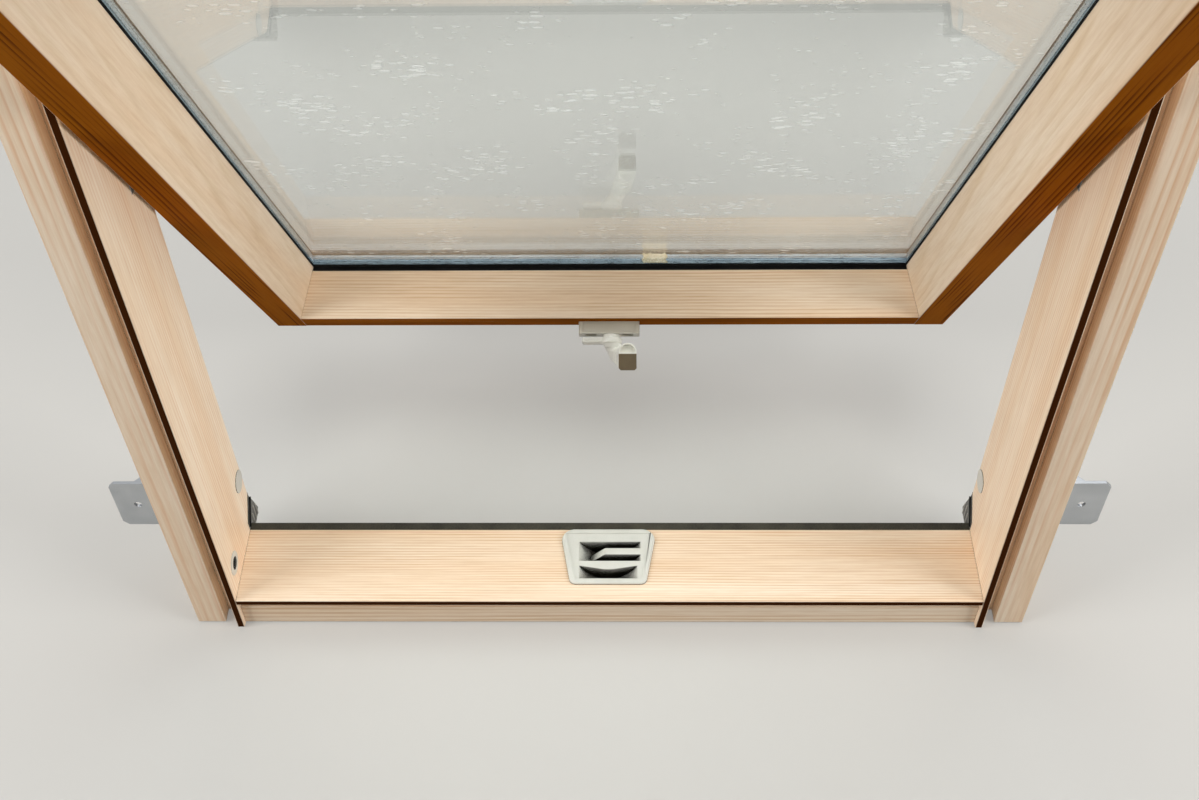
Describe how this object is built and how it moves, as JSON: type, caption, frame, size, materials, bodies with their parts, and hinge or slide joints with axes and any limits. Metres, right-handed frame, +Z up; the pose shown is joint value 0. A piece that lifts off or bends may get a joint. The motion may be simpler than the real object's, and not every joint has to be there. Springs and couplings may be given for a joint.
{
  "type": "roof window",
  "caption": "Centre-pivot roof window: timber frame and glazed timber sash, open at the bottom, with a turning latch handle, keep, pivot hinges and fixing brackets.",
  "frame": {"origin": "centre of the four fixing holes, on the underside of the brackets' flanges", "axes": "+X right as seen from the room, +Y outward through the glass, +Z up the roof slope"},
  "size_m": [0.88, 0.5288, 0.9824],
  "materials": {
    "pine": "clear lacquer, semi-gloss",
    "weather_strip": "matt",
    "grey_cladding": "satin paint on thin aluminium",
    "black_rubber": "matt",
    "grey_plastic": "moulded",
    "zinc_steel": "zinc plated",
    "white_plastic": "moulded",
    "keep_grey": "moulded, light grey",
    "handle_beige": "satin lacquer on a casting",
    "grip_inlay": "moulded, matt",
    "clear_glass": "clear",
    "spacer_aluminium": "bare, rolled"
  },
  "bodies": {
    "frame": {"frame_jamb_right": "pine", "frame_jamb_left": "pine", "frame_bottom_rail": "pine", "frame_top_rail": "pine", "frame_sill_strip": "weather_strip", "frame_sill_cladding": "grey_cladding", "frame_side_cover_right": "grey_cladding", "frame_side_cover_left": "grey_cladding", "frame_top_hood": "grey_cladding", "corner_seal_right": "black_rubber", "corner_seal_left": "black_rubber", "corner_tab_right": "grey_plastic", "corner_tab_left": "grey_plastic", "bracket_upper_right": "zinc_steel", "bracket_upper_left": "zinc_steel", "bracket_lower_right": "zinc_steel", "bracket_lower_left": "zinc_steel", "frame_hinge_right": "zinc_steel", "frame_hinge_left": "zinc_steel", "screw_cap_right": "white_plastic", "screw_cap_left": "white_plastic", "bolt_socket_lower": "white_plastic", "bolt_socket_upper": "white_plastic", "hinge_washer_right": "white_plastic", "hinge_washer_left": "white_plastic", "latch_keep": "keep_grey"},
    "sash": {"sash_stile_right": "pine", "sash_stile_left": "pine", "sash_bottom_rail": "pine", "sash_top_rail": "pine", "sash_cladding_right": "grey_cladding", "sash_cladding_left": "grey_cladding", "sash_cladding_top": "grey_cladding", "sash_cladding_bottom": "grey_cladding", "glass_edge_seal": "black_rubber", "glazing_gasket": "black_rubber", "sash_seal_upper": "black_rubber", "sash_seal_lower": "black_rubber", "setting_block_right": "grey_plastic", "setting_block_left": "grey_plastic", "sash_hinge_right": "zinc_steel", "sash_hinge_left": "zinc_steel", "bolt_guide": "zinc_steel", "handle_screw_right": "zinc_steel", "handle_screw_left": "zinc_steel", "handle_base": "handle_beige", "glass_inner_pane": "clear_glass", "glass_outer_pane": "clear_glass", "glass_spacer": "spacer_aluminium"},
    "handle": {"handle_lever": "handle_beige", "grip_cap": "grip_inlay"},
    "bolt": {"cleaning_bolt": "zinc_steel"}
  },
  "joints": [
    {"name": "sash_pivot", "type": "hinge", "parent": "frame", "child": "sash", "pos_m": [0, 0.045, 0], "axis": [1, 0, 0], "range_deg": [-31, 140]},
    {"name": "handle_turn", "type": "hinge", "parent": "sash", "child": "handle", "pos_m": [0.0025, 0.25233, -0.38], "axis": [0, -0.8572, -0.515], "range_deg": [0, 90]},
    {"name": "cleaning_bolt_slide", "type": "slide", "parent": "sash", "child": "bolt", "axis": [-1, 0, 0], "range_m": [0, 0.014]}
  ]
}
